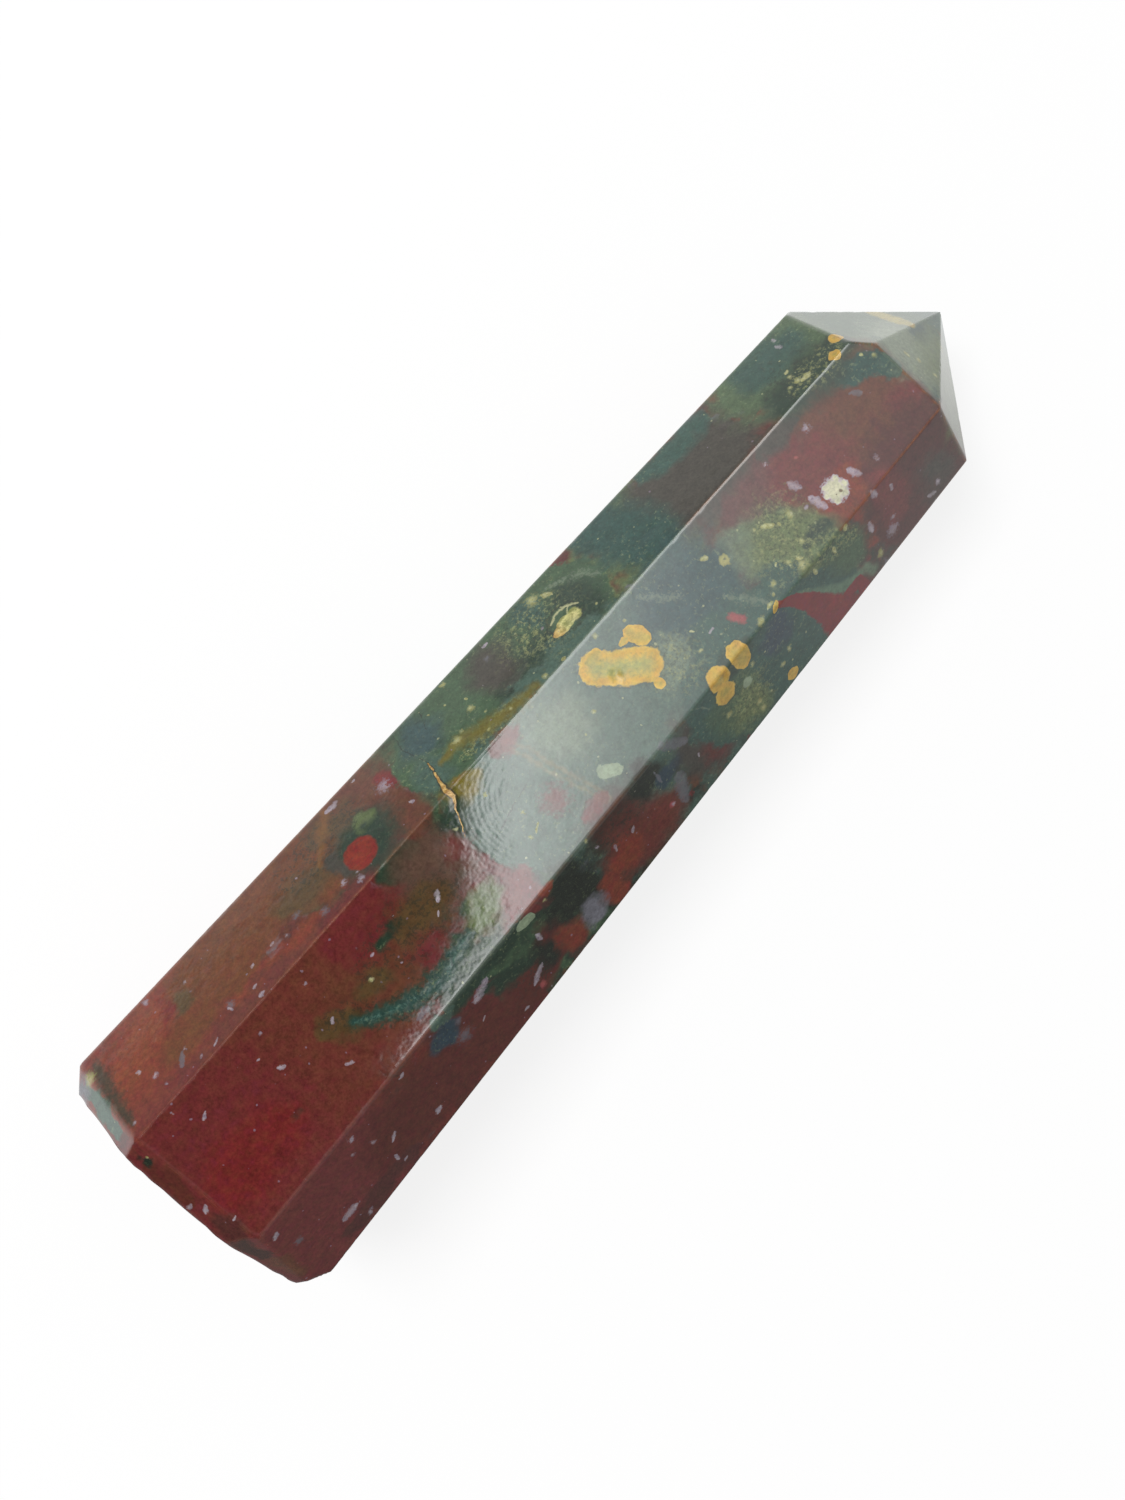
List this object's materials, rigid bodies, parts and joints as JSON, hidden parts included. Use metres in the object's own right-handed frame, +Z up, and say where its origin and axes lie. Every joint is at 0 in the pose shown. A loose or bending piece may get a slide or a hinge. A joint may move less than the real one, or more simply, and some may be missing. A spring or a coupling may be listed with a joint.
{
  "type": "bloodstone obelisk",
  "caption": "Small polished bloodstone obelisk lying on one side flat, with flat tapering sides, a faceted point and a bevelled flat foot.",
  "frame": {"origin": "middle of the bottom of the bounding box, on the surface that the stone lies on", "axes": "+X along the stone from the foot to the point, +Z up, away from the side flat that it lies on, +Y across the stone"},
  "size_m": [0.0804, 0.0214, 0.0214],
  "materials": {
    "bloodstone": "polished: opaque jasper and chalcedony, brick red to maroon towards the foot, dark green, moss and brown above, with ochre, cream and lilac spots"
  },
  "bodies": {
    "root": {"obelisk": "bloodstone"}
  },
  "joints": []
}
